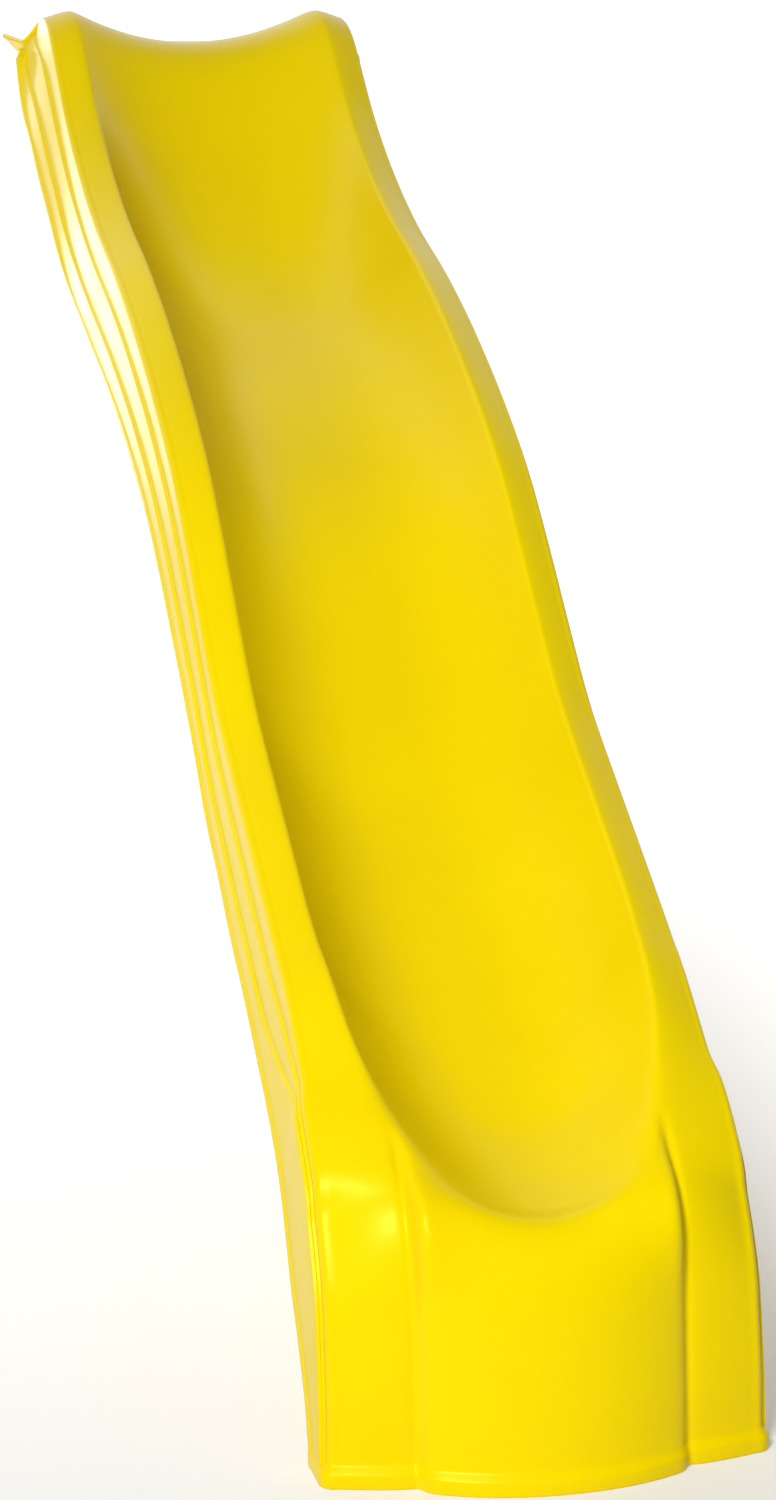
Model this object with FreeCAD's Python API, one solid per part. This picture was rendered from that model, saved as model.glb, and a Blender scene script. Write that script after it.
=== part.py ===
import FreeCAD, Part
import math
import os

# Wave slide, moulded in one piece, with the hardware that fixes it to a deck and to the ground.
# Frame: millimetres, +Z up, foot towards -Y, deck end towards +Y, +X to the right of a person
# who stands in front of the foot. The origin is on the ground, in the middle of the object's box.

V = FreeCAD.Vector

# ---------------------------------------------------------------- driving dimensions
SKIN = 5.0                 # wall thickness of the moulding
DECK_TOP = 1525.0          # height of the deck that the slide hangs on (a 60 in deck)
DECK_END = 2300.0          # y of the end wall, where the deck begins
FLANGE_DEPTH = 110.0       # how far the top flange lies on the deck
FLANGE_FRONT_HALF = 268.0  # half width of the top flange at the end wall
FLANGE_BACK_HALF = 289.0   # half width of the top flange at its back edge
FLANGE_FLAT_HALF = 250.0   # half width of the flange's flat part
FLANGE_TIP_RISE = 16.0     # how far the flange's ends turn up
FLANGE_CORNER = 5.0        # bevel of the flange's back corners
BED_HALF = 197.5           # half width between the inner edges of the rails
RAIL_HALF = 245.0          # half width over the rails
CREST_HALF = 147.0         # half width of the crest and the apron below the exit
CREST_POWER = 2.2          # how the crest's height changes across: 2 would be a parabola
RIM_SOFT = 5.0             # the rails' inner edges are rounded over about this
RIM_POWER = 1.25           # how the rail falls away from its inner edge
LIP_OUT = 9.0              # how far the bottom lip stands out
LIP_TALL = 12.0            # height of the lip along the side walls
GROUND_LIP_TALL = 18.0     # height of the lip round the foot
STEP_OUT = 3.0             # each step on the side wall stands out by this
STEP_RUN = 5.0             # height over which a step stands out
GROOVE_HALF = 155.0        # half spacing of the grooves between the wings and the apron
GROOVE_OFFSET = 4.0        # the groove's bottom lies this far outside the apron's corner
GROOVE_WIDTH = 7.0
CORNER_SOFT = 3.0          # the apron's corner is rounded over about this
WING_POWER = 1.6           # how the wing falls away from the groove
EDGE_ROUND = 9.0           # radius of the moulding's outer edges
PIVOT_Y = 350.0            # the foot's sections fan about the x line through (PIVOT_Y, 0)
FAN_LENGTH = 630.0         # station value of the ground line, for 90 degrees of fan
RIB_THICK = 6.0
RIB_STATIONS = (-1560.0, -1000.0, -250.0)
ORIGIN_Y = 1168.0          # y of the middle of the object's box, before everything is moved there

# A station is the distance in front of the pivot line. Stations below 0 are vertical sections at
# y = PIVOT_Y - station. From 0 to FAN_LENGTH the sections turn about the pivot line until they
# are level at the ground. Heights are measured from the pivot line's level, radii from the line.
# Each table below is (station, value) pairs.
RIM_HEIGHT = [(-1950, 1584), (-1905, 1588), (-1853, 1580), (-1765, 1522), (-1678, 1456),
              (-1584, 1399), (-1475, 1345), (-1348, 1295), (-1192, 1248), (-1068, 1203),
              (-960, 1157), (-865, 1112), (-781, 1067), (-708, 1023), (-591, 932), (-489, 845),
              (-385, 761), (-252, 684), (-124, 613), (0, 543), (92, 490), (150, 463), (200, 452),
              (279, 450), (380, 453), (430, 441), (494, 419), (560, 411), (FAN_LENGTH, 409)]
BED_DEPTH = [(-1950, 50), (-1853, 58), (-1765, 78), (-1678, 100), (-1475, 132), (-1192, 146),
             (-700, 142), (-450, 132), (-300, 138), (0, 145), (92, 124), (136, 108), (200, 88),
             (252, 74), (300, 48), (325, 28), (345, 11), (365, 2), (385, 0), (FAN_LENGTH, 0)]
RIM_HALF = [(-1950, BED_HALF), (-65, BED_HALF), (0, 195), (46, 191), (92, 186), (137, 176),
            (185, 162), (215, 152), (240, 141), (264, 130), (286, 117), (304, 100), (318, 80),
            (330, 58), (345, 44), (FAN_LENGTH, 40)]
BED_POWER = [(-1950, 2.0), (-1700, 2.3), (-1400, 3.0), (-200, 3.0), (60, 2.6), (240, 2.2),
             (FAN_LENGTH, 2.0)]
RAIL_FALL = [(-1950, 14), (-1853, 18), (-1678, 22), (0, 22), (92, 26), (137, 22), (185, 20),
             (256, 40), (310, 58), (369, 71), (430, 74), (511, 65), (588, 68), (FAN_LENGTH, 68)]
OUTER_HALF = [(-1950, RAIL_HALF), (0, RAIL_HALF), (138, 246.5), (165, 252), (256, 253.5),
              (500, 256), (FAN_LENGTH, 257)]
WALL_HEIGHT = [(-1950, 1508), (-1915, 1446), (-1785, 1358), (-1661, 1268), (-1561, 1192),
               (-1352, 1122), (-1125, 1056), (-949, 992), (-817, 930), (-714, 864), (-622, 797),
               (-534, 733), (-454, 670), (-384, 607), (-295, 551), (-215, 494), (-123, 441),
               (-27, 376), (38, 336), (128, 296), (218, 260), (329, 240), (451, 250), (553, 268),
               (FAN_LENGTH, 276)]
WALL_HALF = [(-1950, 274), (-1785, 270), (-1500, 256), (0, 253), (FAN_LENGTH, 257)]
WING_HEIGHT = [(150, 452), (205, 446), (257, 441), (308, 443), (350, 432), (407, 405), (495, 378),
               (592, 366), (FAN_LENGTH, 363)]
# how far the crest and the apron fall back from the middle to CREST_HALF
CREST_FALL = [(200, 4), (250, 4), (300, -5), (329, -9), (350, -5), (365, 3), (380, 13), (400, 25),
              (430, 34), (494, 34), (FAN_LENGTH, 35)]
GROOVE_DEPTH = [(-1950, 0), (215, 0), (260, 4), (320, 5), (420, 3), (FAN_LENGTH, 2)]
UPPER_STEP = [(-1950, 0.27), (-60, 0.26), (60, 0.18), (155, 0.05), (FAN_LENGTH, 0.04)]
LOWER_STEP = [(-1950, 0.66), (-60, 0.64), (60, 0.44), (165, 0.11), (FAN_LENGTH, 0.08)]
# the skin slopes through the sections, so its upright thickness is SKIN times this
SLANT = [(-1950, 1.0), (-1880, 1.1), (-1780, 1.28), (-600, 1.25), (-300, 1.2), (0, 1.1), (100, 1.0),
         (FAN_LENGTH, 1.0)]
MOUTH = (215.0, 300.0)     # the rails turn into the crest between these stations
MOUTH_SOFT = 24.0          # the bowl's edge is rounded over about this where it meets the crest
MOUTH_OPEN = (110.0, 300.0)  # the edge's rounding grows between these stations
MOUTH_LIFT = 0.4           # share of the added rounding that both sides of the edge are raised by
BED_END = (315.0, 415.0)   # the bed climbs out of the crest between these stations
BED_CLIMB = 95.0           # how far it has climbed by then
SPLIT = (205.0, 300.0)     # the wing parts from the apron between these stations
LEAST_COLUMN_HALF = 112.0  # the rim's columns stay at least this far from the middle

STATIONS = [-1950, -1925, -1890, -1850, -1800, -1740, -1670, -1590, -1500, -1400, -1300, -1200,
            -1100, -1000, -900, -800, -700, -600, -500, -400, -300, -200, -100, -30, 35, 75, 110,
            138, 152, 166, 185, 208, 235, 260, 285, 310, 330, 350, 370, 392, 420, 455, 495, 540,
            585, FAN_LENGTH - 6]

# deck fixing
SCREW_X = 190.0            # half spacing of the lag screws along the flange
SCREW_ROWS = (DECK_END + 35.0, DECK_END + 75.0)
SCREW_HOLE = 7.5
SCREW_NECK = 6.8           # diameter of the screw above the deck
SCREW_SHANK = 6.3          # diameter of the screw in the deck
SCREW_LONG = 38.0          # screw length below the flange
SCREW_TIP = 8.0            # length of the screw's point
SCREW_TIP_END = 0.4        # radius at the very end of the point
SCREW_HEAD = (10.0, 5.0)   # across flats, height
WASHER = (16.0, 1.6)       # diameter, thickness
WASHER_PLAY = 0.4
CAP = (25.0, 9.0, 1.5)     # diameter, height, wall
CAP_ROUND = 3.5
STRIP = (470.0, 60.0, 3.0)

# ground anchors, one in each corner of the foot
ANCHOR_X = 200.0
PAD_FROM = (150.0, 9.0)
PAD_TO = (252.0, 64.0)
PAD_TALL = 14.0
INSERT = (12.0, 12.0)      # diameter, length
INSERT_FLOOR = 1.5         # closed bottom of the insert
ANCHOR_BOLT = 8.0
ANCHOR_BOLT_Y = 40.0
ANCHOR_BOLT_GRIP = 9.0     # how deep the bolt goes into the insert
ANCHOR_HEAD = (13.0, 5.3)  # across flats, height
PLATE_WIDE = 60.0
PLATE_THICK = 4.0
PLATE_FROM = 20.0
PLATE_STEP = 66.0
PLATE_TO = 130.0
PLATE_HOLE = 9.0
STAKE_HOLE = 13.0
STAKE_Y = 102.0

# ---------------------------------------------------------------- curves
def follow(points, s):
    """Value at s of a smooth curve through the points, which never overshoots them."""
    if s <= points[0][0]:
        return float(points[0][1])
    if s >= points[-1][0]:
        return float(points[-1][1])
    gaps = [b[0] - a[0] for a, b in zip(points, points[1:])]
    rises = [(b[1] - a[1]) / g for a, b, g in zip(points, points[1:], gaps)]
    k = next(i for i in range(len(gaps)) if s <= points[i + 1][0])

    def slope(i):
        if i == 0:
            return rises[0]
        if i == len(rises):
            return rises[-1]
        if rises[i - 1] * rises[i] <= 0:
            return 0.0
        w1 = 2 * gaps[i] + gaps[i - 1]
        w2 = gaps[i] + 2 * gaps[i - 1]
        return (w1 + w2) / (w1 / rises[i - 1] + w2 / rises[i])

    t = (s - points[k][0]) / gaps[k]
    a, b = points[k][1], points[k + 1][1]
    return ((1 + 2 * t) * (1 - t) ** 2 * a + t * (1 - t) ** 2 * gaps[k] * slope(k)
            + t * t * (3 - 2 * t) * b + t * t * (t - 1) * gaps[k] * slope(k + 1))


def soft_max(a, b, width):
    """Larger of a and b, with the corner between them rounded over about width."""
    return 0.5 * (a + b + math.sqrt((a - b) ** 2 + width * width))


def soft_min(a, b, width):
    """Smaller of a and b, with the corner between them rounded over about width."""
    return -soft_max(-a, -b, width)


def ramp(value, limits):
    """0 below the first limit, 1 above the second, with a smooth rise between them."""
    t = min(1.0, max(0.0, (value - limits[0]) / (limits[1] - limits[0])))
    return t * t * (3 - 2 * t)


def place(s, x, height):
    """Point of the section at station s."""
    if s <= 0:
        return V(x, PIVOT_Y - s, height)
    turn = math.radians(90.0 * s / FAN_LENGTH)
    return V(x, PIVOT_Y - height * math.sin(turn), height * math.cos(turn))


# ---------------------------------------------------------------- outline of one section
def inside_height(s, x):
    """Height of what lies between the grooves: bed, rim and rail, then crest and apron."""
    rim = follow(RIM_HEIGHT, s)
    half = follow(RIM_HALF, s)
    outer = follow(OUTER_HALF, s)
    roundness = RIM_SOFT + (MOUTH_SOFT - RIM_SOFT) * ramp(s, MOUTH_OPEN)
    lift = MOUTH_LIFT * (roundness - RIM_SOFT)
    far = 1.7
    bed = rim - follow(BED_DEPTH, s) * (1.0 - min(x / half, far) ** follow(BED_POWER, s))
    bed += lift + BED_CLIMB * ramp(s, BED_END)
    across = max(0.0, (x - half) / (outer - half))
    rail = rim - follow(RAIL_FALL, s) * across ** RIM_POWER
    crest = rim - follow(CREST_FALL, s) * (x / CREST_HALF) ** CREST_POWER
    beyond = rail + (crest - rail) * ramp(s, MOUTH) + lift
    return soft_min(bed, beyond, roundness)


def wing_height(s, x):
    """Height of the wing beside the apron."""
    outer = follow(OUTER_HALF, s)
    edge = follow(RIM_HEIGHT, s) - follow(RAIL_FALL, s)
    share = max(0.0, (x - GROOVE_HALF) / (outer - GROOVE_HALF))
    return edge + (follow(WING_HEIGHT, s) - edge) * (1.0 - share ** WING_POWER)


def upper_height(s, x):
    """Height of the visible top surface at distance x from the middle of the section."""
    inside = inside_height(s, x)
    if s <= SPLIT[0]:
        return inside
    share = 1.0 / (1.0 + math.exp((x - GROOVE_HALF) / CORNER_SOFT))
    split = inside * share + wing_height(s, x) * (1.0 - share)
    groove = follow(GROOVE_DEPTH, s) * math.exp(-((x - GROOVE_HALF - GROOVE_OFFSET) / GROOVE_WIDTH) ** 2)
    return inside + (split - inside) * ramp(s, SPLIT) - groove


def top_columns(s):
    """x of the top surface's columns, from the middle out, crowded at the rim and the groove."""
    half = max(follow(RIM_HALF, s), LEAST_COLUMN_HALF)
    start = follow(OUTER_HALF, s) - EDGE_ROUND
    groove = min(soft_max(GROOVE_HALF, half + 18.0, 8.0), start - 22.0)
    bed = [half * f for f in (0.0, 0.14, 0.27, 0.4, 0.52, 0.63, 0.73, 0.82, 0.9, 0.95)]
    rim = [half - 3.0, half + 3.0, half + 3.0 + (groove - 15.0 - half) * 0.5]
    dip = [groove + step for step in (-12.0, -6.0, 0.0, 5.0, 11.0, 18.0)]
    wing = [dip[-1] + (start - dip[-1]) * f for f in (0.35, 0.7, 1.0)]
    return sorted(bed + rim + dip + wing)


def corner_points(s, drop, radius):
    """The rail's rounded outer corner, lowered by drop: two points between top and side wall."""
    start = follow(OUTER_HALF, s) - EDGE_ROUND
    top = upper_height(s, start) - drop
    return [(start + radius * math.sin(a), top - radius * (1 - math.cos(a)))
            for a in (math.radians(30), math.radians(60))]


def wall_points(s):
    """Side wall, from below the rail's rounded corner down to the lip: (x, height) pairs."""
    outer = follow(OUTER_HALF, s)
    top = upper_height(s, outer - EDGE_ROUND) - EDGE_ROUND
    tall = top - follow(WALL_HEIGHT, s)
    lean = follow(WALL_HALF, s) - outer
    lip = LIP_TALL / tall
    run = STEP_RUN / tall
    upper = follow(UPPER_STEP, s)
    lower = follow(LOWER_STEP, s)
    steps = [(0.0, 0.0), (upper, 0.0), (upper + run, STEP_OUT), (lower, STEP_OUT),
             (lower + run, 2 * STEP_OUT), (1.0 - 1.3 * lip, 2 * STEP_OUT), (1.0 - lip, LIP_OUT),
             (1.0, LIP_OUT)]
    return [(outer + lean * f + out, top - tall * f) for f, out in steps]


def half_section(s):
    """(x, height) pairs of the right half: the smooth stretch, then the stepped wall."""
    smooth = [(x, upper_height(s, x)) for x in top_columns(s)]
    return smooth + corner_points(s, 0.0, EDGE_ROUND), wall_points(s)


def slope_at(s, x):
    """Slope of the top surface across the section, kept moderate so the inner skin can't fold."""
    reach = 1.5
    if x == 0:
        return 0.0
    low, high = max(0.0, x - reach), x + reach
    return max(-1.6, min(3.0, (upper_height(s, high) - upper_height(s, low)) / (high - low)))


def inner_half_section(s):
    """The inner skin under half_section, with the same number of points."""
    lean = follow(SLANT, s)
    least_gap = 0.6
    smooth = []
    for x in top_columns(s):
        slope = slope_at(s, x)
        length = math.hypot(1.0, slope)
        inner_x = x + SKIN * slope / length
        if smooth:
            inner_x = max(inner_x, smooth[-1][0] + least_gap)
        smooth.append((inner_x, upper_height(s, x) - SKIN * lean / length))
    smooth += corner_points(s, SKIN * lean, EDGE_ROUND - SKIN)
    wall = [(x - SKIN, height) for x, height in wall_points(s)]
    wall[0] = (wall[0][0], wall[0][1] - SKIN * (lean - 1))
    flat_x = wall[5][0]
    return smooth, wall[:6] + [(flat_x, wall[6][1]), (flat_x, wall[7][1])]


# ---------------------------------------------------------------- surfaces
def curve_along(column):
    """The smooth curve along the slide through one column's points."""
    curve = Part.BSplineCurve()
    curve.interpolate(Points=column, Parameters=[float(s) for s in STATIONS])
    return curve


def strip_face(column_a, column_b):
    """The face between two neighbouring columns: a cubic along the slide, ruled across it."""
    along = [curve_along(column) for column in (column_a, column_b)]
    surface = Part.BSplineSurface()
    surface.buildFromPolesMultsKnots([curve.getPoles() for curve in along], [2, 2],
                                     along[0].getMultiplicities(), [0.0, 1.0], along[0].getKnots(),
                                     False, False, 1, 3)
    return surface.toShape()


def cap_face(corners):
    """The flat or ruled piece between the outer and the inner skin at one end of the slide."""
    a, b, c, d = corners
    surface = Part.BSplineSurface()
    surface.buildFromPolesMultsKnots([[a, b], [d, c]], [2, 2], [2, 2], [0.0, 1.0], [0.0, 1.0],
                                     False, False, 1, 1)
    return surface.toShape()


def mirrored(columns):
    """The same columns on the left, in the order that keeps going round the section."""
    return [[V(-p.x, p.y, p.z) for p in column] for column in reversed(columns)]


def skin_columns(section):
    """Columns of points for the whole skin that section() outlines, left lip to right lip."""
    rows = []
    for s in STATIONS:
        smooth, wall = section(s)
        rows.append([place(s, x, height) for x, height in smooth + wall])
    right = [list(column) for column in zip(*rows)]
    return mirrored(right[1:]) + right


def moulded_shell():
    """The one-piece skin: outer and inner faces, closed at both ends and along the lip."""
    outer = skin_columns(half_section)
    inner = skin_columns(inner_half_section)
    faces = []
    for skin in (outer, inner):
        faces += [strip_face(a, b) for a, b in zip(skin, skin[1:])]
    for end in (0, -1):
        for j in range(len(outer) - 1):
            faces.append(cap_face([outer[j][end], outer[j + 1][end], inner[j + 1][end], inner[j][end]]))
    faces.append(strip_face(outer[0], inner[0]))
    faces.append(strip_face(outer[-1], inner[-1]))
    shell = Part.makeShell(faces)
    shell.sewShape()
    return Part.Solid(shell)


def cylinder(x, y, z, diameter, height):
    return Part.makeCylinder(diameter / 2.0, height, V(x, y, z), V(0, 0, 1))


def plate(low, high):
    return Part.makeBox(high[0] - low[0], high[1] - low[1], high[2] - low[2], V(*low))


def prism(points, direction):
    """A solid whose flat face has straight edges through the points."""
    wire = Part.makePolygon([V(*p) for p in points] + [V(*points[0])])
    return Part.Face(wire).extrude(V(*direction))


def section_across(section, s):
    """(x, height) pairs of a section's smooth stretch, from left to right."""
    right = section(s)[0]
    left = [(-x, height) for x, height in reversed(right)]
    return left + right[1:]


def deck_flange():
    """End wall behind the bed's top edge, and the flange that lies on the deck."""
    edge = section_across(half_section, STATIONS[0])
    wide = edge[-1][0]
    front = DECK_END - 1.0
    points = [(x, front, height - 0.4) for x, height in edge]
    points += [(wide, front, DECK_TOP), (-wide, front, DECK_TOP)]
    end_wall = prism(points, (0, SKIN, 0))
    back = DECK_END + FLANGE_DEPTH
    half = [(FLANGE_FLAT_HALF, 0.0), (FLANGE_BACK_HALF, FLANGE_TIP_RISE)]
    under = [(-x, z) for x, z in reversed(half)] + half
    profile = [(x, front, DECK_TOP + z) for x, z in under]
    profile += [(x, front, DECK_TOP + SKIN + z) for x, z in reversed(under)]
    side = [(FLANGE_FRONT_HALF, front), (FLANGE_BACK_HALF, back - FLANGE_CORNER),
            (FLANGE_BACK_HALF - FLANGE_CORNER, back)]
    outline = [(x, y, DECK_TOP - 1.0) for x, y in side]
    outline += [(-x, y, DECK_TOP - 1.0) for x, y in reversed(side)]
    flange = prism(profile, (0, FLANGE_DEPTH + 1.0, 0))
    flange = flange.common(prism(outline, (0, 0, SKIN + FLANGE_TIP_RISE + 2.0)))
    for x, y in screw_places():
        flange = flange.cut(cylinder(x, y, DECK_TOP - 1, SCREW_HOLE, SKIN + 2))
    return [end_wall, flange]


def ground_lip():
    """The lip that runs round the front and the sides of the foot, with its underside on the ground."""
    smooth, wall = half_section(FAN_LENGTH)
    outer = follow(OUTER_HALF, FAN_LENGTH)
    top = upper_height(FAN_LENGTH, outer - EDGE_ROUND)
    low = wall[-1][1] + 1.0
    front = smooth[:-2]
    overlap = SKIN + 3.0
    outside = [(x, height + LIP_OUT) for x, height in front]
    outside += [(outer + 2.0, top + 5.0), (outer + LIP_OUT, top - 4.0), (wall[-1][0] + 1.0, low)]
    inside = [(x, height - SKIN - 1.0) for x, height in front]
    inside += [(outer - overlap, top - SKIN - 8.0), (wall[4][0] - overlap, low)]
    half = [place(FAN_LENGTH, x, height) for x, height in outside]
    back = [place(FAN_LENGTH, x, height) for x, height in inside]
    ring = [(-p.x, p.y, 0.0) for p in reversed(half[1:])] + [(p.x, p.y, 0.0) for p in half]
    ring += [(p.x, p.y, 0.0) for p in reversed(back)] + [(-p.x, p.y, 0.0) for p in back[1:]]
    return prism(ring, (0, 0, GROUND_LIP_TALL))


def cross_rib(s):
    """An upright rib under the bed, from the skin's middle down to a straight lower edge."""
    reach = follow(OUTER_HALF, s) - SKIN / 2
    edge = [(x, height - SKIN / 2) for x, height in section_across(half_section, s)
            if abs(x) < reach - 4]
    shoulder = edge[-1][1] - 20
    floor = follow(WALL_HEIGHT, s) + 1.0
    y = PIVOT_Y - s - RIB_THICK / 2
    points = [(x, y, height) for x, height in edge]
    points += [(reach, y, shoulder), (reach, y, floor), (-reach, y, floor), (-reach, y, shoulder)]
    return prism(points, (0, RIB_THICK, 0))


def anchor_pad(side):
    """A solid pad moulded into a corner of the foot, bored for the threaded insert."""
    low_x, high_x = sorted((side * PAD_FROM[0], side * PAD_TO[0]))
    pad = plate((low_x, PAD_FROM[1], 0.0), (high_x, PAD_TO[1], PAD_TALL))
    hole = cylinder(side * ANCHOR_X, ANCHOR_BOLT_Y, PAD_TALL - INSERT[1], INSERT[0], INSERT[1] + 1)
    return pad, hole


def slide_body():
    """The whole moulding: skin, deck flange, ground lip, ribs and anchor pads."""
    body = moulded_shell()
    holes = []
    extras = deck_flange() + [ground_lip()] + [cross_rib(s) for s in RIB_STATIONS]
    for side in (-1, 1):
        pad, hole = anchor_pad(side)
        extras.append(pad)
        holes.append(hole)
    body = body.fuse(extras)
    for hole in holes:
        body = body.cut(hole)
    return body


# ---------------------------------------------------------------- hardware
def screw_places():
    """(x, y) of the lag screws."""
    return [(x, y) for y in SCREW_ROWS for x in (-SCREW_X, SCREW_X)]


def flange_strip():
    """Steel strip that spreads the screws' load over the flange."""
    middle = sum(SCREW_ROWS) / 2
    z = DECK_TOP + SKIN
    long, wide, thick = STRIP
    strip = plate((-long / 2, middle - wide / 2, z), (long / 2, middle + wide / 2, z + thick))
    for x, y in screw_places():
        strip = strip.cut(cylinder(x, y, z - 1, SCREW_HOLE, thick + 2))
    return strip


def hexagon(x, y, z, across, height):
    radius = across / math.sqrt(3.0)
    turns = [math.radians(60 * i) for i in range(6)]
    corners = [(x + radius * math.cos(a), y + radius * math.sin(a), z) for a in turns]
    return prism(corners, (0, 0, height))


def washer(x, y, z, size, hole):
    diameter, thick = size
    return cylinder(x, y, z, diameter, thick).cut(cylinder(x, y, z - 1, hole, thick + 2))


def deck_washer(x, y):
    """Washer between a lag screw's head and the steel strip."""
    return washer(x, y, DECK_TOP + SKIN + STRIP[2], WASHER, SCREW_NECK + WASHER_PLAY)


def lag_screw(x, y):
    """Hexagon-head lag screw with a plain neck and a tapered tip."""
    seat = DECK_TOP + SKIN + STRIP[2] + WASHER[1]
    low = DECK_TOP - SCREW_LONG
    shank = cylinder(x, y, low + SCREW_TIP, SCREW_SHANK, SCREW_LONG - SCREW_TIP)
    neck = cylinder(x, y, DECK_TOP, SCREW_NECK, seat - DECK_TOP)
    point = Part.makeCone(SCREW_TIP_END, SCREW_SHANK / 2, SCREW_TIP, V(x, y, low), V(0, 0, 1))
    return shank.fuse([point, neck, hexagon(x, y, seat, *SCREW_HEAD)])


def screw_cap(x, y):
    """Domed plastic cap that covers a screw head and its washer."""
    diameter, height, wall = CAP
    base = DECK_TOP + SKIN + STRIP[2]
    outer = cylinder(x, y, base, diameter, height)
    outer = outer.makeFillet(CAP_ROUND, [e for e in outer.Edges if e.BoundBox.ZMin > base + height - 0.1])
    return outer.cut(cylinder(x, y, base - 1, diameter - 2 * wall, height + 1 - wall))


def anchor_insert(side):
    """Brass insert in the pad, with a closed bottom."""
    x, y = side * ANCHOR_X, ANCHOR_BOLT_Y
    diameter, long = INSERT
    z = PAD_TALL - long
    return cylinder(x, y, z, diameter, long).cut(cylinder(x, y, z + INSERT_FLOOR, ANCHOR_BOLT, long))


def anchor_plate(side):
    """Cranked steel plate: bolted to the pad, stepping down to the ground behind it."""
    half = PLATE_WIDE / 2
    x = side * ANCHOR_X
    step = PLATE_STEP
    t = PLATE_THICK
    outline = [(PLATE_FROM, PAD_TALL), (step, PAD_TALL), (step, 0.0), (PLATE_TO, 0.0),
               (PLATE_TO, t), (step + t, t), (step + t, PAD_TALL + t), (PLATE_FROM, PAD_TALL + t)]
    body = prism([(x - half, y, z) for y, z in outline], (PLATE_WIDE, 0, 0))
    through = PAD_TALL + 2 * t
    body = body.cut(cylinder(x, ANCHOR_BOLT_Y, 0, PLATE_HOLE, through))
    return body.cut(cylinder(x, STAKE_Y, -1, STAKE_HOLE, through))


def anchor_washer(side):
    """Washer between the anchor bolt's head and the plate."""
    hole = ANCHOR_BOLT + WASHER_PLAY
    return washer(side * ANCHOR_X, ANCHOR_BOLT_Y, PAD_TALL + PLATE_THICK, WASHER, hole)


def anchor_bolt(side):
    """Hexagon-head bolt through the washer and the plate into the insert."""
    x, y = side * ANCHOR_X, ANCHOR_BOLT_Y
    seat = PAD_TALL + PLATE_THICK + WASHER[1]
    low = PAD_TALL - ANCHOR_BOLT_GRIP
    return cylinder(x, y, low, ANCHOR_BOLT, seat - low).fuse(hexagon(x, y, seat, *ANCHOR_HEAD))


def build():
    """The solids of each node."""
    sides = (-1, 1)
    places = screw_places()
    return {
        "slide_body": [slide_body()],
        "flange_strip": [flange_strip()],
        "deck_screws": [lag_screw(x, y) for x, y in places],
        "deck_washers": [deck_washer(x, y) for x, y in places],
        "screw_caps": [screw_cap(x, y) for x, y in places],
        "left_anchor_plate": [anchor_plate(-1)],
        "right_anchor_plate": [anchor_plate(1)],
        "anchor_inserts": [anchor_insert(side) for side in sides],
        "anchor_bolts": [anchor_bolt(side) for side in sides],
        "anchor_washers": [anchor_washer(side) for side in sides],
    }


os.makedirs("parts", exist_ok=True)
for node, solids in build().items():
    for solid in solids:
        solid.translate(V(0, -ORIGIN_Y, 0))
    shape = solids[0] if len(solids) == 1 else Part.makeCompound(solids)
    shape.exportStep("parts/" + node + ".step")
    print(node, shape.isValid(), len(shape.Solids), round(shape.Volume / 1000), shape.BoundBox)
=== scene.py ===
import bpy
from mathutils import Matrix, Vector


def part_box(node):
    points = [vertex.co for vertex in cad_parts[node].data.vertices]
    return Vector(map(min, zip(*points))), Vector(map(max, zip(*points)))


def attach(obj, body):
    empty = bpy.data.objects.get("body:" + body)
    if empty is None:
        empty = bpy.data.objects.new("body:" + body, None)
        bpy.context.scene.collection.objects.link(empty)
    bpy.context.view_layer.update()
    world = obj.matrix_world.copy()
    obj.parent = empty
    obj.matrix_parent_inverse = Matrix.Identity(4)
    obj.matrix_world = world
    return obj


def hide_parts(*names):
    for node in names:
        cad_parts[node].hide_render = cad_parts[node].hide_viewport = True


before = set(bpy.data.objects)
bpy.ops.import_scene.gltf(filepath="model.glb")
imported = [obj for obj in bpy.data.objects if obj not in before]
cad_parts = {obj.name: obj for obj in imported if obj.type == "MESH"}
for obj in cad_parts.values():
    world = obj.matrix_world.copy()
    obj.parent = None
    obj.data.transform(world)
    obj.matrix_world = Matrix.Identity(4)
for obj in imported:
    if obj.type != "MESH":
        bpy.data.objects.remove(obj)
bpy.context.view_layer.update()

import math

import bmesh
import bpy
import numpy as np
from mathutils import Matrix, Vector

# Wave slide: the moulding is rebuilt here as one fine mesh with the same formulas as the CAD part,
# and the hardware is the CAD's own. Sizes are in millimetres until place() turns them to metres.
MM = 0.001

# ------------------------------------------------------------------ sizes of the moulding
SKIN = 5.0
DECK_TOP = 1525.0
DECK_END = 2300.0
FLANGE_DEPTH = 110.0
FLANGE_FRONT_HALF = 268.0
FLANGE_BACK_HALF = 288.0
FLANGE_FLAT_HALF = 250.0
FLANGE_TIP_RISE = 15.0
GUSSET_LOW = 1508.0
BED_HALF = 197.5
RAIL_HALF = 245.0
CREST_HALF = 147.0
CREST_POWER = 2.2
RIM_POWER = 1.25
WING_POWER = 1.6
RIM_SOFT = 5.0
MOUTH_SOFT = 24.0
MOUTH_LIFT = 0.4
BED_FAR = 1.7
BED_CLIMB = 95.0
LIP_OUT = 9.0
LIP_TALL = 12.0
GROUND_LIP_TALL = 18.0
LIP_SLOPE = 8.0
STEP_OUT = 3.5
STEP_RUN = 4.0
PIVOT_Y = 350.0
FAN_LENGTH = 630.0
GROOVE_HALF = 155.0
GROOVE_OFFSET = 4.0
GROOVE_WIDTH = 6.0
CORNER_SOFT = 2.6
EDGE_ROUND = 10.0
RIB_THICK = 6.0
RIB_STATIONS = (-1560.0, -1000.0, -250.0)
RIB_INSET = 4.0
RIB_SHOULDER = 20.0
PAD_FROM = (150.0, 9.0)
PAD_TO = (252.0, 64.0)
PAD_TALL = 14.0
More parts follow.
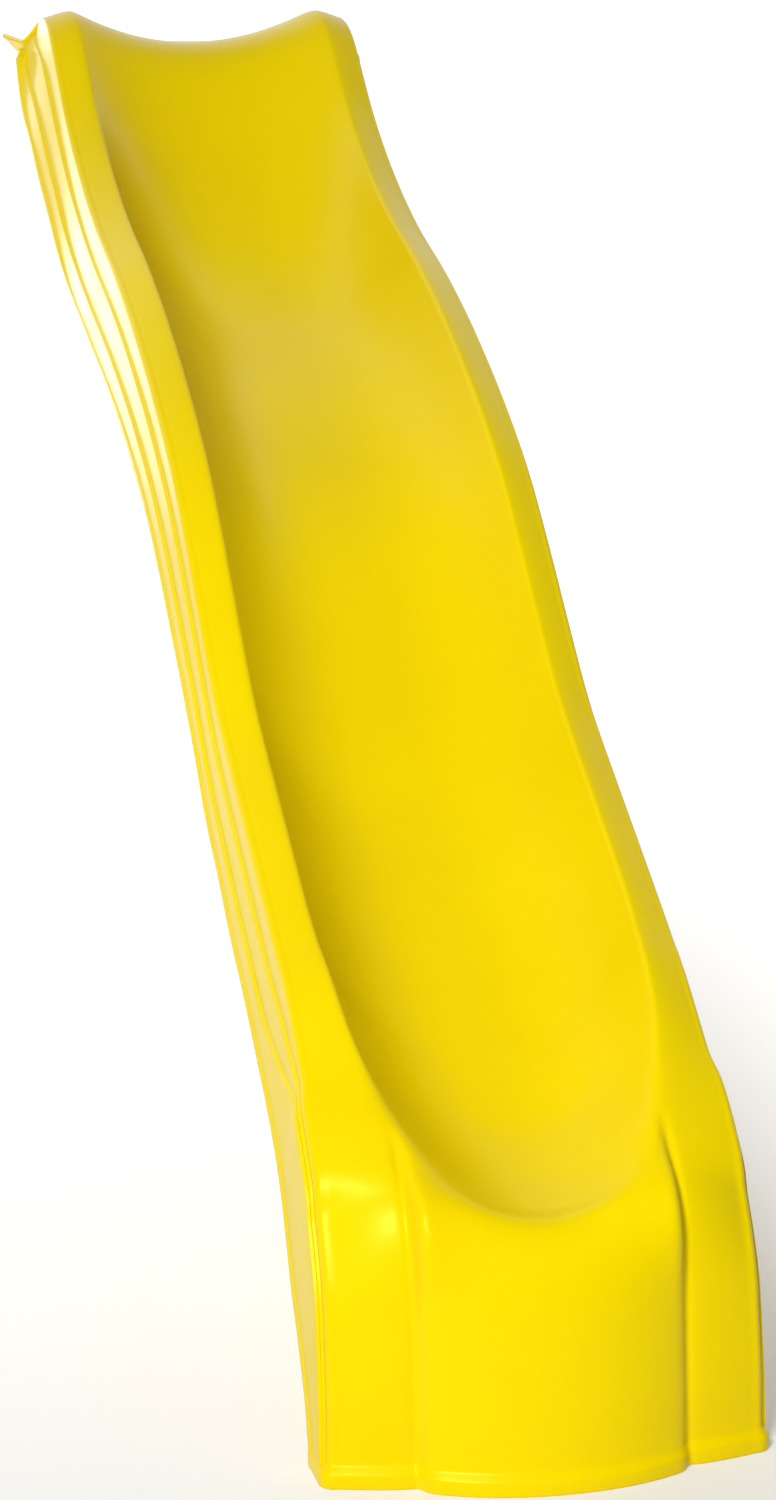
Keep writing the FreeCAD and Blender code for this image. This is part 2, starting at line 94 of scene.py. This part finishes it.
PAD_HOLE_AT = (200.0, 40.0)
PAD_HOLE_RADIUS = 6.0
PAD_HOLE_DEPTH = 12.0
PAD_HOLE_SIDES = 40
SHARP_ANGLE = math.radians(50.0)

# changes along the slide, each between two stations
MOUTH_OPEN = (110.0, 300.0)
MOUTH = (215.0, 300.0)
BED_END = (315.0, 415.0)
SPLIT = (205.0, 300.0)

# the frame says where the moulding's back edge is, and everything is placed from there
SHIFT_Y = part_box("slide_body")[1][1] / MM - (DECK_END + FLANGE_DEPTH)

# (station, value) pairs. A station is the distance in front of the pivot line, as in the CAD part.
RIM_HEIGHT = [(-1950, 1584), (-1905, 1588), (-1853, 1580), (-1765, 1522), (-1678, 1456), (-1584, 1399),
              (-1475, 1345), (-1348, 1295), (-1192, 1248), (-1068, 1203), (-960, 1157),
              (-865, 1112), (-781, 1067), (-708, 1023), (-591, 932), (-489, 845), (-385, 761),
              (-252, 684), (-124, 613), (0, 543), (92, 490), (150, 463), (200, 452), (279, 450),
              (380, 453), (430, 441), (494, 419), (560, 411), (FAN_LENGTH, 409)]
BED_DEPTH = [(-1950, 50), (-1853, 58), (-1765, 78), (-1678, 100), (-1475, 132), (-1192, 146), (-700, 142),
             (-450, 132), (-300, 138), (0, 145), (92, 124), (136, 108), (200, 88), (252, 74),
             (300, 48), (325, 28), (345, 11), (365, 2), (385, 0), (FAN_LENGTH, 0)]
RIM_HALF = [(-1950, BED_HALF), (-65, BED_HALF), (0, 195), (46, 191), (92, 186), (137, 176),
            (185, 162), (215, 152), (240, 141), (264, 130), (286, 117), (304, 100), (318, 80),
            (330, 58), (345, 44), (FAN_LENGTH, 40)]
BED_POWER = [(-1950, 2.0), (-1700, 2.3), (-1400, 3.0), (-200, 3.0), (60, 2.6), (240, 2.2),
             (FAN_LENGTH, 2.0)]
RAIL_FALL = [(-1950, 14), (-1853, 18), (-1678, 22), (0, 22), (92, 26), (137, 22), (185, 20),
             (256, 40), (310, 58), (369, 71), (430, 74), (511, 65), (588, 68), (FAN_LENGTH, 68)]
OUTER_HALF = [(-1950, RAIL_HALF), (0, RAIL_HALF), (138, 246.5), (165, 252), (256, 253.5),
              (500, 256), (FAN_LENGTH, 257)]
WALL_HEIGHT = [(-1950, 1508), (-1915, 1446), (-1785, 1358), (-1661, 1268), (-1561, 1192), (-1352, 1122),
               (-1125, 1056), (-949, 992), (-817, 930), (-714, 864), (-622, 797), (-534, 733),
               (-454, 670), (-384, 607), (-295, 551), (-215, 494), (-123, 441), (-27, 376),
               (38, 336), (128, 296), (218, 260), (329, 240), (451, 250), (553, 268),
               (FAN_LENGTH, 276)]
WALL_HALF = [(-1950, 274), (-1785, 270), (-1500, 256), (0, 253), (FAN_LENGTH, 257)]
WING_HEIGHT = [(150, 452), (205, 446), (257, 441), (308, 443), (350, 432), (407, 405), (495, 378),
               (592, 366), (FAN_LENGTH, 363)]
CREST_FALL = [(-1950, 4), (250, 4), (300, -5), (329, -9), (350, -5), (365, 3), (380, 13), (400, 25),
              (430, 34), (494, 34), (FAN_LENGTH, 35)]
GROOVE_DEPTH = [(-1950, 0), (215, 0), (260, 4), (320, 5), (420, 3), (FAN_LENGTH, 2)]
UPPER_STEP = [(-1950, 0.27), (-60, 0.26), (60, 0.18), (155, 0.05), (FAN_LENGTH, 0.04)]
LOWER_STEP = [(-1950, 0.66), (-60, 0.64), (60, 0.44), (165, 0.11), (FAN_LENGTH, 0.08)]


# ------------------------------------------------------------------ smooth tables
def follow(points, s):
    """Value at s of a monotone cubic through the points."""
    gaps = [b[0] - a[0] for a, b in zip(points, points[1:])]
    rises = [(b[1] - a[1]) / g for a, b, g in zip(points, points[1:], gaps)]

    def slope(i):
        if i == 0:
            return rises[0]
        if i == len(rises):
            return rises[-1]
        if rises[i - 1] * rises[i] <= 0:
            return 0.0
        w1 = 2 * gaps[i] + gaps[i - 1]
        w2 = gaps[i] + 2 * gaps[i - 1]
        return (w1 + w2) / (w1 / rises[i - 1] + w2 / rises[i])

    if s <= points[0][0]:
        return points[0][1] + (s - points[0][0]) * slope(0)
    if s >= points[-1][0]:
        return points[-1][1] + (s - points[-1][0]) * slope(len(rises))
    k = next(i for i in range(len(gaps)) if s <= points[i + 1][0])
    t = (s - points[k][0]) / gaps[k]
    a, b = points[k][1], points[k + 1][1]
    return ((1 + 2 * t) * (1 - t) ** 2 * a + t * (1 - t) ** 2 * gaps[k] * slope(k)
            + t * t * (3 - 2 * t) * b + t * t * (t - 1) * gaps[k] * slope(k + 1))


FINE_STEP = 2.0
FINE = np.arange(-2100.0, FAN_LENGTH + 150.0, FINE_STEP)
SOFTNESS = 22.0


def table(points, softness=SOFTNESS):
    """The curve through the points, softened over a short length so that gloss runs over it evenly."""
    values = np.array([follow(points, s) for s in FINE])
    reach = np.arange(-3 * softness, 3 * softness + 1, FINE_STEP)
    kernel = np.exp(-0.5 * (reach / softness) ** 2)
    half = len(reach) // 2
    first = 2 * values[0] - values[half:0:-1]
    last = 2 * values[-1] - values[-2:-half - 2:-1]
    soft = np.convolve(np.concatenate([first, values, last]), kernel / kernel.sum(), mode="valid")
    return lambda s: float(np.interp(s, FINE, soft))


rim_height = table(RIM_HEIGHT)
bed_depth = table(BED_DEPTH)
rim_half = table(RIM_HALF, 12.0)
bed_power = table(BED_POWER)
rail_fall = table(RAIL_FALL)
outer_half = table(OUTER_HALF, 8.0)
wall_height = table(WALL_HEIGHT)
wall_half = table(WALL_HALF)
wing_height = table(WING_HEIGHT)
crest_fall = table(CREST_FALL, 14.0)
groove_depth = table(GROOVE_DEPTH, 10.0)
upper_step = table(UPPER_STEP)
lower_step = table(LOWER_STEP)


def ramp(value, start, end):
    """0 before start, 1 after end, with a smooth rise between them."""
    t = min(1.0, max(0.0, (value - start) / (end - start)))
    return t * t * (3 - 2 * t)


def soft_min(a, b, width):
    """Smaller of a and b, with the corner between them rounded over about width."""
    return 0.5 * (a + b - np.sqrt((a - b) ** 2 + width * width))


def soft_max(a, b, width):
    """Larger of a and b, with the corner between them rounded over about width."""
    return 0.5 * (a + b + np.sqrt((a - b) ** 2 + width * width))


def place(s, x, height):
    """Row of points of the section at station s, in metres in the frame."""
    x = np.asarray(x, float)
    height = np.asarray(height, float)
    turn = math.radians(90.0 * max(0.0, s) / FAN_LENGTH)
    y = PIVOT_Y - min(s, 0.0) - height * math.sin(turn)
    z = height * math.cos(turn)
    return np.stack([x, y + SHIFT_Y + 0 * x, z], axis=-1) * MM


# ------------------------------------------------------------------ outline of one section
def upper_height(s, x):
    """Height of the top surface over x: bed, rim, rail, crest, apron, groove and wing."""
    rim = rim_height(s)
    half = rim_half(s)
    outer = outer_half(s)
    roundness = RIM_SOFT + (MOUTH_SOFT - RIM_SOFT) * ramp(s, *MOUTH_OPEN)
    lift = MOUTH_LIFT * (roundness - RIM_SOFT)
    bed = rim - bed_depth(s) * (1.0 - np.minimum(x / half, BED_FAR) ** bed_power(s))
    bed = bed + lift + BED_CLIMB * ramp(s, *BED_END)
    across = np.clip((x - half) / (outer - half), 0.0, None)
    rail = rim - rail_fall(s) * across ** RIM_POWER
    crest = rim - crest_fall(s) * (x / CREST_HALF) ** CREST_POWER
    beyond = rail + (crest - rail) * ramp(s, *MOUTH) + lift
    inside = soft_min(bed, beyond, roundness)
    edge = rim - rail_fall(s)
    share = np.clip((x - GROOVE_HALF) / (outer - GROOVE_HALF), 0.0, 1.2)
    wing = edge + (wing_height(s) - edge) * (1.0 - share ** WING_POWER)
    side = 1.0 / (1.0 + np.exp((x - GROOVE_HALF) / CORNER_SOFT))
    split = inside * side + wing * (1.0 - side)
    height = inside + (split - inside) * ramp(s, *SPLIT)
    return height - groove_depth(s) * np.exp(-((x - GROOVE_HALF - GROOVE_OFFSET) / GROOVE_WIDTH) ** 2)


BED_COLUMNS = 30
BED_CROWDING = 0.9
COLUMN_HALF = 122.0
DIP_ROOM = 30.0
DIP_FULL = 45.0
LEAST_GAP = 0.25
RIM_SPREAD = (-9.0, -6.0, -3.5, -1.5, 0.5, 2.5, 5.0, 8.0, 12.0)
DIP_SPREAD = (-20.0, -14.0, -10.0, -7.0, -4.0, -1.0, 2.0, 5.0, 8.0, 11.0, 15.0, 21.0)
WING_COLUMNS = 8


def top_columns(s):
    """x of the top surface's columns from the middle out, crowded at the rim and at the groove."""
    half = max(rim_half(s), COLUMN_HALF)
    start = outer_half(s) - EDGE_ROUND
    groove = float(soft_max(GROOVE_HALF + 2.0, half + DIP_ROOM, 8.0))
    squeeze = min(1.0, (start - half - 13.0) / DIP_FULL)
    groove = min(groove, start - 22.0 * squeeze)
    bed = np.linspace(0.0, 1.0, BED_COLUMNS) ** BED_CROWDING * (half - 10.5)
    rim = half + np.array(RIM_SPREAD)
    dip = groove + np.array(DIP_SPREAD) * squeeze
    wing = np.linspace(dip[-1], start, WING_COLUMNS + 1)[1:]
    order = np.sort(np.concatenate([bed, rim, dip, wing]))
    gaps = np.maximum(np.diff(order), LEAST_GAP)
    return np.concatenate([[0.0], np.cumsum(gaps)]) * start / gaps.sum()


# turns of the outward normal round the rail's outer corner
CORNER = np.radians([15, 30, 45, 60, 75, 90])


def wall_outline(s):
    """Side wall with its two steps and its lip, as (x, height), from the top down."""
    outer = outer_half(s)
    top = float(upper_height(s, np.array([outer - EDGE_ROUND]))[0]) - EDGE_ROUND
    low = wall_height(s)
    foot = wall_half(s)
    tall = top - low
    lip = LIP_TALL / tall
    upper, lower = upper_step(s), lower_step(s)
    run = min(STEP_RUN / tall, 0.25 * (lower - upper))
    bead = 1.0 - lip
    marks = [(upper * 0.5, 0.0), (upper - run, 0.0), (upper - 0.35 * run, 0.05), (upper, 0.5),
             (upper + 0.35 * run, 0.95), (upper + run, 1.0), ((upper + lower) / 2, 1.0),
             (lower - run, 1.0), (lower - 0.35 * run, 1.05), (lower, 1.5), (lower + 0.35 * run, 1.95),
             (lower + run, 2.0), (lower + (bead - lower) * 0.35, 2.0), (lower + (bead - lower) * 0.7, 2.0)]
    out = [(f, STEP_OUT * k) for f, k in marks]
    out += [(bead - 1.2 * lip * 0.35, 2 * STEP_OUT), (bead - 0.1 * lip, 2 * STEP_OUT + 0.4),
            (bead, LIP_OUT - 1.0), (bead + 0.12 * lip, LIP_OUT), (1.0 - 0.5 * lip, LIP_OUT),
            (1.0 - 0.08 * lip, LIP_OUT), (1.0, LIP_OUT - 0.8)]
    return [(outer + (foot - outer) * f + o, top - tall * f) for f, o in out]


def section(s):
    """x and height of the right half of the outer skin at station s."""
    x = top_columns(s)
    height = upper_height(s, x)
    start, top = x[-1], height[-1]
    corner_x = start + EDGE_ROUND * np.sin(CORNER)
    corner_h = top - EDGE_ROUND * (1 - np.cos(CORNER))
    wall = np.array(wall_outline(s))
    return (np.concatenate([x, corner_x, wall[:, 0]]), np.concatenate([height, corner_h, wall[:, 1]]))


# ------------------------------------------------------------------ rows of the whole moulding
FLANGE_ROWS = 12
FLANGE_END = 14.0
# how far a row lies behind the bed's top edge, and how far it has risen from the flange to the bed
END_WALL = ((9.0, 0.03), (6.5, 0.15), (5.2, 0.35), (4.6, 0.6), (4.2, 0.82), (3.4, 0.94), (1.6, 0.995))
STATIONS = np.concatenate([np.arange(-1950.0, -30.0, 12.0), np.arange(-30.0, 240.0, 8.0),
                           np.arange(240.0, 440.0, 4.5), np.arange(440.0, 580.0, 9.0)])


def deck_rows():
    """Rows from the back of the deck flange forward to the bed's top edge. The columns of the side
    wall become the gusset between the flange's edge and the end of the side wall's lip."""
    x, height = section(STATIONS[0])
    wall_count = len(wall_outline(STATIONS[0]))
    top_count = len(x) - wall_count
    spread = np.concatenate([x[:top_count] / x[top_count - 1], np.ones(wall_count)])
    down = np.concatenate([np.zeros(top_count), np.linspace(0.0, 1.0, wall_count + 1)[1:]])
    rows = []

    def row(back, lift):
        part = min(1.0, back / FLANGE_DEPTH)
        half = FLANGE_FRONT_HALF + (FLANGE_BACK_HALF - FLANGE_FRONT_HALF) * part
        bend = FLANGE_BACK_HALF - FLANGE_FLAT_HALF
        turned = np.clip((spread * half - FLANGE_FLAT_HALF) / bend, 0, 1)
        flat_z = DECK_TOP + SKIN + FLANGE_TIP_RISE * turned
        low_z = GUSSET_LOW + (DECK_TOP + FLANGE_TIP_RISE - GUSSET_LOW) * part
        flat_z = flat_z * (1 - down) + np.minimum(low_z, flat_z) * down
        px = spread * half * (1 - lift) + x * lift
        pz = flat_z * (1 - lift) + height * lift
        rows.append(np.stack([px, np.full(len(x), DECK_END + back + SHIFT_Y), pz], axis=-1) * MM)

    for back in np.linspace(FLANGE_DEPTH, FLANGE_END, FLANGE_ROWS):
        row(back, 0.0)
    for back, lift in END_WALL:
        row(back, lift)
    return rows


def lip_rows():
    """The lip round the foot: out, over a rounded edge, and down to the ground."""
    x, height = section(FAN_LENGTH)
    count = len(x)
    top_count = count - len(wall_outline(FAN_LENGTH))
    # the way out of the skin: forward on the front, sideways on the walls, turning at the corner
    turn = np.zeros(count)
    first = top_count - len(CORNER)
    turn[first:top_count] = CORNER
    turn[top_count:] = math.pi / 2
    already = np.zeros(count)
    wall = np.array(wall_outline(FAN_LENGTH))
    outer, foot = outer_half(FAN_LENGTH), wall_half(FAN_LENGTH)
    base = outer + (foot - outer) * np.linspace(0, 1, len(wall))
    already[top_count:] = np.clip(wall[:, 0] - base, 0.0, LIP_OUT)
    rows = []
    tall = GROUND_LIP_TALL
    for out, z in ((0.0, tall + LIP_SLOPE + 2), (0.06, tall + LIP_SLOPE), (0.3, tall + LIP_SLOPE * 0.7),
                   (0.8, tall + LIP_SLOPE * 0.12), (0.94, tall - 0.8), (1.0, tall - 2.5), (1.0, tall / 2),
                   (1.0, 2.0), (0.96, 0.6), (0.86, 0.0)):
        reach = LIP_OUT * out - np.minimum(already, LIP_OUT * out)
        px = x + reach * np.sin(turn)
        py = PIVOT_Y - height - reach * np.cos(turn)
        rows.append(np.stack([px, py + SHIFT_Y, np.full(count, z)], axis=-1) * MM)
    return rows


def skin_rows():
    """Rows of the right half of the outer skin, from the back of the deck flange to the ground."""
    return deck_rows() + [place(s, *section(s)) for s in STATIONS] + lip_rows()


# ------------------------------------------------------------------ ribs and pads under the skin
def cross_rib(s):
    """Points and faces of the upright rib under the bed at station s."""
    x, height = section(s)
    reach = outer_half(s) - SKIN / 2
    under = x < reach - RIB_INSET
    right = list(zip(x[under], height[under] - SKIN / 2))
    edge = [(-px, pz) for px, pz in reversed(right[1:])] + right
    shoulder = edge[-1][1] - RIB_SHOULDER
    low = wall_height(s) + 1.0
    edge += [(reach, shoulder), (reach, low), (-reach, low), (-reach, shoulder)]
    count = len(edge)
    middle = PIVOT_Y - s + SHIFT_Y
    points = [(px * MM, y * MM, pz * MM) for y in (middle - RIB_THICK / 2, middle + RIB_THICK / 2)
              for px, pz in edge]
    faces = [tuple(range(count)), tuple(range(2 * count - 1, count - 1, -1))]
    for i in range(count):
        j = (i + 1) % count
        faces.append((i, i + count, j + count, j))
    return points, faces


def anchor_pad(side):
    """Points and faces of the pad in a corner of the foot, with the bore for its threaded insert."""
    hole_x, hole_y = PAD_HOLE_AT
    corners = [(PAD_TO[0], PAD_TO[1]), (PAD_FROM[0], PAD_TO[1]), (PAD_FROM[0], PAD_FROM[1]),
               (PAD_TO[0], PAD_FROM[1])]
    turns = [math.atan2(y - hole_y, x - hole_x) % math.tau for x, y in corners]
    turns = sorted(turns + [math.tau * (i + 0.5) / PAD_HOLE_SIDES for i in range(PAD_HOLE_SIDES)])
    rim, bore = [], []
    for turn in turns:
        c, n = math.cos(turn), math.sin(turn)
        to_x = ((PAD_TO[0] if c > 0 else PAD_FROM[0]) - hole_x) / c
        to_y = ((PAD_TO[1] if n > 0 else PAD_FROM[1]) - hole_y) / n
        far = min(to_x, to_y)
        rim.append((hole_x + far * c, hole_y + far * n))
        bore.append((hole_x + PAD_HOLE_RADIUS * c, hole_y + PAD_HOLE_RADIUS * n))
    rings = [(rim, 0.0), (rim, PAD_TALL), (bore, PAD_TALL), (bore, PAD_TALL - PAD_HOLE_DEPTH)]
    points = [(side * x * MM, (y + SHIFT_Y) * MM, z * MM) for ring, z in rings for x, y in ring]
    count = len(turns)
    faces = [tuple(range(count)), tuple(range(4 * count - 1, 3 * count - 1, -1))]
    for k in range(3):
        for i in range(count):
            j = (i + 1) % count
            faces.append((k * count + i, k * count + j, (k + 1) * count + j, (k + 1) * count + i))
    return points, faces


def mesh_object(name, points, faces):
    """A smooth-shaded mesh object in the scene."""
    mesh = bpy.data.meshes.new(name)
    mesh.from_pydata(points, [], faces)
    mesh.update()
    for polygon in mesh.polygons:
        polygon.use_smooth = True
    thing = bpy.data.objects.new(name, mesh)
    bpy.context.scene.collection.objects.link(thing)
    return thing


def outer_skin():
    """Grid of the outer skin's points: rows along the slide, columns from the left lip to the right."""
    rows = []
    for right in skin_rows():
        left = right[:0:-1] * np.array([-1.0, 1.0, 1.0])
        rows.append(np.concatenate([left, right]))
    return np.array(rows)


def inner_skin(grid):
    """The outer skin moved inwards by the skin's thickness, and kept above the ground."""
    normal = np.cross(np.gradient(grid, axis=1), np.gradient(grid, axis=0))
    normal /= np.linalg.norm(normal, axis=2, keepdims=True) + 1e-12
    row_on_the_bed = 40
    if normal[row_on_the_bed, grid.shape[1] // 2][2] < 0:
        normal = -normal
    inner = grid - normal * SKIN * MM
    inner[-1, :, 2] = 0.0
    inner[:, :, 2] = np.maximum(inner[:, :, 2], 0.0)
    return inner


def skin_faces(n, m):
    """Faces of both skins, n rows by m columns each, and of the four edges that close them."""
    def outer(i, j):
        return i * m + j

    def inner(i, j):
        return n * m + i * m + j

    faces = []
    for i in range(n - 1):
        for j in range(m - 1):
            faces.append((outer(i, j), outer(i + 1, j), outer(i + 1, j + 1), outer(i, j + 1)))
            faces.append((inner(i, j), inner(i, j + 1), inner(i + 1, j + 1), inner(i + 1, j)))
    last_row, last_column = n - 1, m - 1
    for j in range(m - 1):
        faces.append((outer(0, j), outer(0, j + 1), inner(0, j + 1), inner(0, j)))
        faces.append((outer(last_row, j + 1), outer(last_row, j), inner(last_row, j),
                      inner(last_row, j + 1)))
    for i in range(n - 1):
        faces.append((outer(i + 1, 0), outer(i, 0), inner(i, 0), inner(i + 1, 0)))
        faces.append((outer(i, last_column), outer(i + 1, last_column), inner(i + 1, last_column),
                      inner(i, last_column)))
    return faces


def build_moulding():
    """Both skins in one closed mesh, with the ribs and the anchor pads under them."""
    grid = outer_skin()
    points = np.concatenate([grid.reshape(-1, 3), inner_skin(grid).reshape(-1, 3)]).tolist()
    faces = skin_faces(*grid.shape[:2])
    extras = [cross_rib(s) for s in RIB_STATIONS] + [anchor_pad(side) for side in (-1, 1)]
    for extra_points, extra_faces in extras:
        first = len(points)
        points += extra_points
        faces += [tuple(first + k for k in face) for face in extra_faces]
    body = mesh_object("moulding", points, faces)
    body.data.set_sharp_from_angle(angle=SHARP_ANGLE)
    work = bmesh.new()
    work.from_mesh(body.data)
    bmesh.ops.recalc_face_normals(work, faces=work.faces)
    work.to_mesh(body.data)
    work.free()
    return body


# ------------------------------------------------------------------ materials
def new_material(name):
    """A material with its nodes, its links and its shader."""
    material = bpy.data.materials.new(name)
    material.use_nodes = True
    nodes = material.node_tree.nodes
    return material, nodes, material.node_tree.links, nodes["Principled BSDF"]


def moulded_yellow():
    """Glossy rotomoulded polyethylene: saturated yellow, faintly clouded, with a fine orange peel."""
    material, nodes, links, shader = new_material("moulded_yellow")
    shader.inputs["IOR"].default_value = 1.5
    shader.inputs["Specular IOR Level"].default_value = 0.22
    shader.inputs["Specular Tint"].default_value = (1.0, 0.9, 0.2, 1)
    coord = nodes.new("ShaderNodeTexCoord")

    def noise(scale, detail):
        node = nodes.new("ShaderNodeTexNoise")
        node.inputs["Scale"].default_value = scale
        node.inputs["Detail"].default_value = detail
        links.new(coord.outputs["Object"], node.inputs["Vector"])
        return node.outputs["Fac"]

    tint = nodes.new("ShaderNodeValToRGB")
    tint.color_ramp.elements[0].position = 0.32
    tint.color_ramp.elements[0].color = (0.81, 0.6, 0.0, 1)
    tint.color_ramp.elements[1].position = 0.68
    tint.color_ramp.elements[1].color = (0.85, 0.645, 0.0, 1)
    links.new(noise(2.6, 3.0), tint.inputs["Fac"])
    links.new(tint.outputs["Color"], shader.inputs["Base Color"])
    rough = nodes.new("ShaderNodeMapRange")
    rough.inputs["To Min"].default_value = 0.26
    rough.inputs["To Max"].default_value = 0.38
    links.new(noise(9.0, 4.0), rough.inputs["Value"])
    links.new(rough.outputs["Result"], shader.inputs["Roughness"])
    peel = nodes.new("ShaderNodeBump")
    peel.inputs["Strength"].default_value = 0.06
    peel.inputs["Distance"].default_value = 0.0015
    links.new(noise(70.0, 2.0), peel.inputs["Height"])
    grain = nodes.new("ShaderNodeBump")
    grain.inputs["Strength"].default_value = 0.05
    grain.inputs["Distance"].default_value = 0.0003
    links.new(noise(420.0, 2.0), grain.inputs["Height"])
    links.new(peel.outputs["Normal"], grain.inputs["Normal"])
    links.new(grain.outputs["Normal"], shader.inputs["Normal"])
    return material


def cap_plastic():
    """Injection-moulded cap: the same yellow, finer and less glossy than the moulding."""
    material, nodes, links, shader = new_material("cap_plastic")
    coord = nodes.new("ShaderNodeTexCoord")
    speckle = nodes.new("ShaderNodeTexNoise")
    speckle.inputs["Scale"].default_value = 160.0
    speckle.inputs["Detail"].default_value = 3.0
    links.new(coord.outputs["Object"], speckle.inputs["Vector"])
    tint = nodes.new("ShaderNodeValToRGB")
    tint.color_ramp.elements[0].color = (0.78, 0.52, 0.0, 1)
    tint.color_ramp.elements[1].color = (0.86, 0.6, 0.0, 1)
    links.new(speckle.outputs["Fac"], tint.inputs["Fac"])
    links.new(tint.outputs["Color"], shader.inputs["Base Color"])
    shader.inputs["Roughness"].default_value = 0.42
    bump = nodes.new("ShaderNodeBump")
    bump.inputs["Strength"].default_value = 0.08
    bump.inputs["Distance"].default_value = 0.0003
    links.new(speckle.outputs["Fac"], bump.inputs["Height"])
    links.new(bump.outputs["Normal"], shader.inputs["Normal"])
    return material


def metal(name, color, roughness):
    """Metal with fine mottling in its colour and its roughness."""
    material, nodes, links, shader = new_material(name)
    shader.inputs["Metallic"].default_value = 1.0
    coord = nodes.new("ShaderNodeTexCoord")
    noise = nodes.new("ShaderNodeTexNoise")
    noise.inputs["Scale"].default_value = 90.0
    links.new(coord.outputs["Object"], noise.inputs["Vector"])
    tint = nodes.new("ShaderNodeValToRGB")
    tint.color_ramp.elements[0].color = tuple(c * 0.8 for c in color) + (1,)
    tint.color_ramp.elements[1].color = tuple(color) + (1,)
    links.new(noise.outputs["Fac"], tint.inputs["Fac"])
    links.new(tint.outputs["Color"], shader.inputs["Base Color"])
    rough = nodes.new("ShaderNodeMapRange")
    rough.inputs["To Min"].default_value = roughness - 0.08
    rough.inputs["To Max"].default_value = roughness + 0.1
    links.new(noise.outputs["Fac"], rough.inputs["Value"])
    links.new(rough.outputs["Result"], shader.inputs["Roughness"])
    return material


def give(node, material):
    """Puts the material on a CAD node, whose shape stays."""
    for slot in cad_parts[node].material_slots:
        slot.material = material


# ------------------------------------------------------------------ stage
def studio():
    """Pale floor that curves up into a pale backdrop well behind the slide."""
    side, front, bend, back, tall = 16.0, -9.0, 5.0, 9.0, 12.0
    bend_steps = 16
    radius = back - bend
    profile = [(front, 0.0), (bend, 0.0)]
    for step in range(1, bend_steps + 1):
        turn = math.radians(90.0 * step / bend_steps)
        profile.append((bend + radius * math.sin(turn), radius * (1 - math.cos(turn))))
    profile.append((back, tall))
    points = [(x, y, z) for y, z in profile for x in (-side, side)]
    faces = [(2 * i, 2 * i + 1, 2 * i + 3, 2 * i + 2) for i in range(len(profile) - 1)]
    floor = mesh_object("floor", points, faces)
    material, nodes, links, shader = new_material("pale_floor")
    shader.inputs["Base Color"].default_value = (0.7, 0.7, 0.7, 1)
    shader.inputs["Roughness"].default_value = 0.85
    # painted light: the floor and backdrop glow, most at the back and fading out towards the front of the
    # floor, and the glow also lightens the slide's shadow on the floor
    shader.inputs["Emission Color"].default_value = (1, 1, 1, 1)
    where = nodes.new("ShaderNodeTexCoord")
    parts = nodes.new("ShaderNodeSeparateXYZ")
    painted_glow_fade = nodes.new("ShaderNodeMapRange")
    painted_glow_fade.interpolation_type = "SMOOTHSTEP"
    painted_glow_fade.inputs["From Min"].default_value = -2.8
    painted_glow_fade.inputs["From Max"].default_value = 2.5
    painted_glow_fade.inputs["To Min"].default_value = 0.0
    painted_glow_fade.inputs["To Max"].default_value = 0.75
    links.new(where.outputs["Object"], parts.inputs["Vector"])
    links.new(parts.outputs["Y"], painted_glow_fade.inputs["Value"])
    links.new(painted_glow_fade.outputs["Result"], shader.inputs["Emission Strength"])
    floor.data.materials.append(material)
    world = bpy.data.worlds.new("studio")
    bpy.context.scene.world = world
    world.use_nodes = True
    world.node_tree.nodes["Background"].inputs["Color"].default_value = (1, 1, 1, 1)
    world.node_tree.nodes["Background"].inputs["Strength"].default_value = 0.15


def softbox(name, place_at, aim, width, height, power):
    """A rectangular area light that faces the point aim."""
    light = bpy.data.lights.new(name, "AREA")
    light.shape = "RECTANGLE"
    light.size = width
    light.size_y = height
    light.energy = power
    thing = bpy.data.objects.new(name, light)
    thing.location = place_at
    direction = Vector(aim) - Vector(place_at)
    thing.rotation_euler = direction.to_track_quat("-Z", "Y").to_euler()
    bpy.context.scene.collection.objects.link(thing)


def camera():
    """The camera that the photograph was taken with, as the slide's symmetry gives it."""
    yaw = math.radians(12.82)
    pitch = math.radians(12.0)
    roll = math.radians(0.12)
    away = Vector((math.sin(yaw) * math.cos(pitch), math.cos(yaw) * math.cos(pitch), -math.sin(pitch)))
    right = Vector((math.cos(yaw), -math.sin(yaw), 0.0))
    up = right.cross(away)
    rolled_right = right * math.cos(roll) + up * math.sin(roll)
    rolled_up = up * math.cos(roll) - right * math.sin(roll)
    data = bpy.data.cameras.new("camera")
    data.sensor_width = 36.0
    data.lens = 93.6
    data.clip_end = 100.0
    eye = bpy.data.objects.new("camera", data)
    axes = Matrix((rolled_right, rolled_up, -away)).transposed().to_4x4()
    eye_place = Vector((-1107.7, -4030.3 + SHIFT_Y, 1726.1)) * MM
    eye.matrix_world = Matrix.Translation(eye_place) @ axes
    bpy.context.scene.collection.objects.link(eye)
    bpy.context.scene.camera = eye


moulding = build_moulding()
moulding.data.materials.append(moulded_yellow())
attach(moulding, "root")
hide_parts("slide_body")

zinc = metal("zinc_steel", (0.62, 0.63, 0.65), 0.38)
brass = metal("insert_brass", (0.75, 0.55, 0.25), 0.3)
for node in ("flange_strip", "deck_screws", "deck_washers", "left_anchor_plate", "right_anchor_plate",
             "anchor_bolts", "anchor_washers"):
    give(node, zinc)
give("anchor_inserts", brass)
give("screw_caps", cap_plastic())

studio()
softbox("key", (-2.8, -5.6, 4.7), (0, -0.1, 0.8), 1.8, 1.8, 490)
softbox("back_panel", (-1.0, 5.2, 1.35), (-0.6, 0.0, 1.1), 1.3, 2.1, 44)
camera()
bpy.context.scene.view_settings.view_transform = "Standard"
